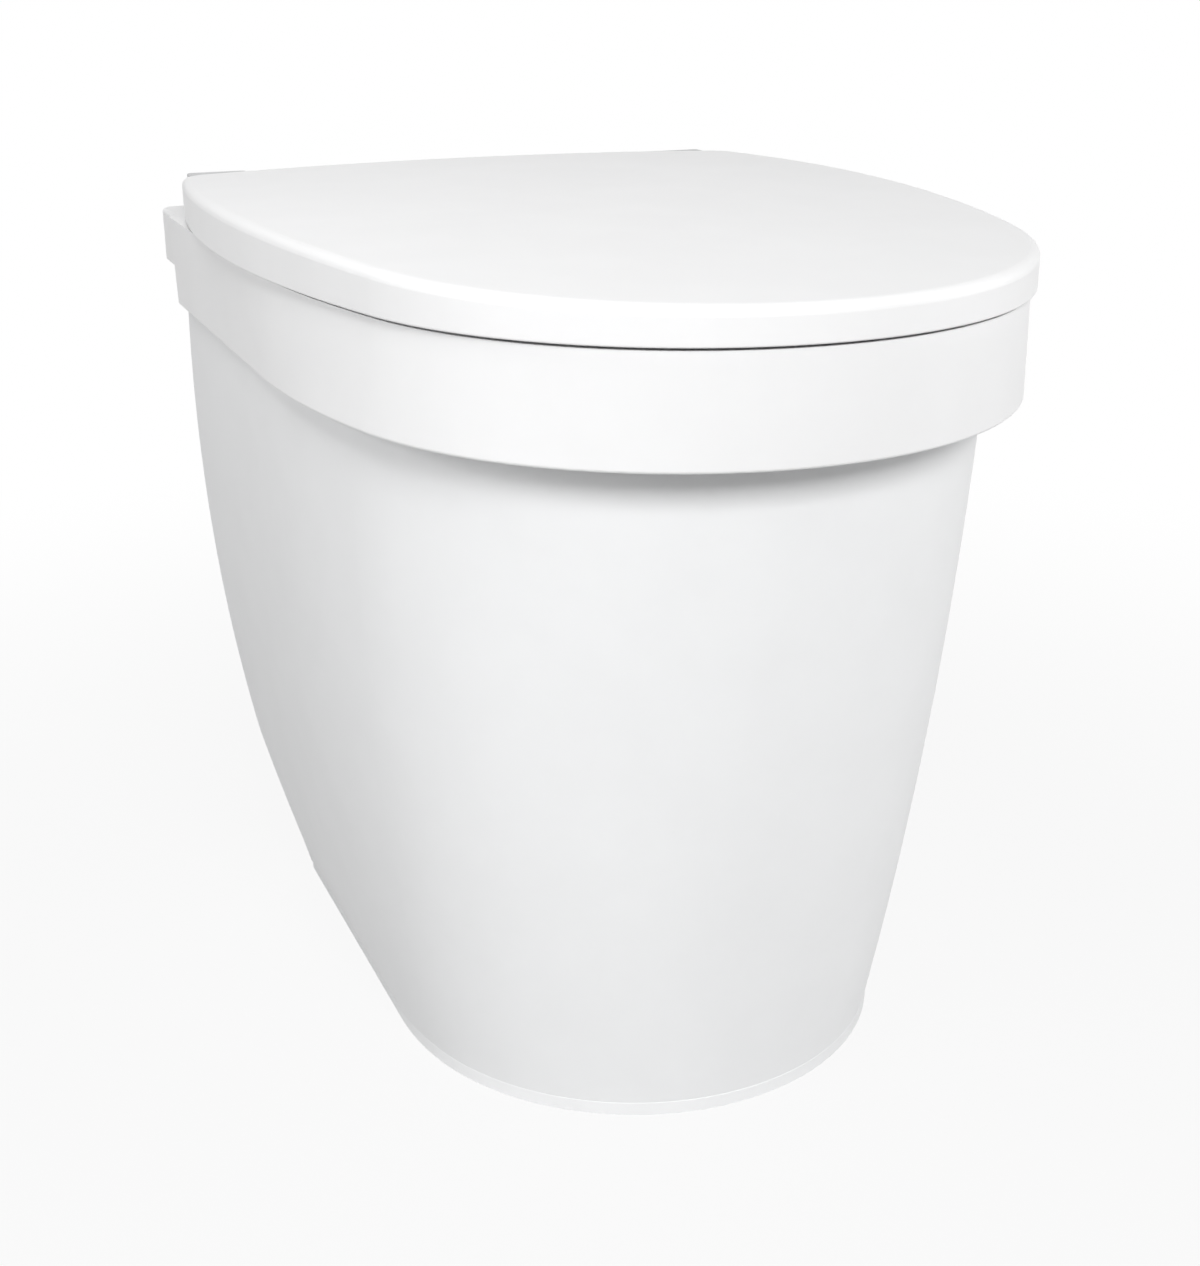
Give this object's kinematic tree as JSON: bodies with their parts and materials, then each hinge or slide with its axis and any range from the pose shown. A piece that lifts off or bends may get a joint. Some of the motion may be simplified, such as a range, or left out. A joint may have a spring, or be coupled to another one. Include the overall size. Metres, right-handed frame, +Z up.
{
  "type": "urine-diverting toilet",
  "caption": "Free-standing dry toilet: tapered white body, lift-off top with crowned lid, seat ring and diverting bowl, urine container, solids bucket, view screen and vent fan.",
  "frame": {"origin": "middle of the overall footprint, on the floor", "axes": "X right, -Y front, +Y rear with the vent, Z up"},
  "size_m": [0.396, 0.54, 0.46],
  "materials": {
    "shell_white": "satin moulded polypropylene",
    "band_white": "satin moulded polypropylene",
    "lid_white": "polished moulded polypropylene",
    "seat_white": "polished moulded polypropylene",
    "bowl_white": "polished moulded polypropylene",
    "hinge_grey": "moulded",
    "steel": "drawn",
    "rubber_grey": "moulded",
    "nylon": "moulded",
    "screen_grey": "moulded",
    "bucket_grey": "moulded",
    "can_natural": "blow moulded",
    "fan_black": "moulded",
    "vent_grey": "moulded"
  },
  "bodies": {
    "body": {"body_shell": "shell_white", "rim_seal": "rubber_grey", "solids_bucket": "bucket_grey", "bag_ring": "bucket_grey", "urine_can": "can_natural", "fan_frame": "fan_black", "fan_axle": "steel", "fan_guard": "fan_black", "fan_screws": "steel", "vent_spigot": "vent_grey", "vent_gasket": "rubber_grey", "power_inlet": "fan_black", "inlet_nut": "fan_black"},
    "top": {"rim_band": "band_white", "hinge_block_left": "band_white", "hinge_block_right": "band_white", "hinge_cap_left": "hinge_grey", "hinge_cap_right": "hinge_grey", "hinge_pins": "steel", "hinge_bolts": "steel", "diverter_bowl": "bowl_white", "drain_spout": "bowl_white", "spout_washer": "rubber_grey", "spout_nut": "bowl_white", "drain_strainer": "steel", "screen_pins": "steel", "rod_guide": "nylon", "return_spring": "steel"},
    "seat": {"seat_ring": "seat_white", "seat_bushes": "nylon", "seat_buffers": "rubber_grey"},
    "lid": {"lid_cover": "lid_white", "lid_bushes": "nylon", "lid_buffers": "rubber_grey"},
    "screen": {"view_screen": "screen_grey"},
    "rod": {"push_rod": "nylon"},
    "fan": {"fan_rotor": "fan_black"}
  },
  "joints": [
    {"name": "top_lift", "type": "slide", "parent": "body", "child": "top", "axis": [0, 0, 1], "range_m": [0, 0.2]},
    {"name": "seat_hinge", "type": "hinge", "parent": "top", "child": "seat", "pos_m": [0, 0.232, 0.447], "axis": [-1, 0, 0], "range_deg": [0, 90]},
    {"name": "lid_hinge", "type": "hinge", "parent": "seat", "child": "lid", "pos_m": [0, 0.232, 0.447], "axis": [-1, 0, 0], "range_deg": [0, 95]},
    {"name": "screen_swing", "type": "hinge", "parent": "top", "child": "screen", "pos_m": [0, 0.029, 0.354], "axis": [1, 0, 0], "range_deg": [0, 84]},
    {"name": "rod_press", "type": "slide", "parent": "top", "child": "rod", "axis": [0, 0, 1], "range_m": [-0.005, 0], "stiffness_N_per_m": 400, "springref_m": 0.005, "deforming": ["return_spring"]},
    {"name": "fan_spin", "type": "hinge", "parent": "body", "child": "fan", "pos_m": [0, 0.207, 0.3], "axis": [0, 1, 0], "continuous": true}
  ],
  "couplings": [
    {"joint": "rod_press", "follows": "screen_swing", "m_per_rad": -0.0034105}
  ]
}
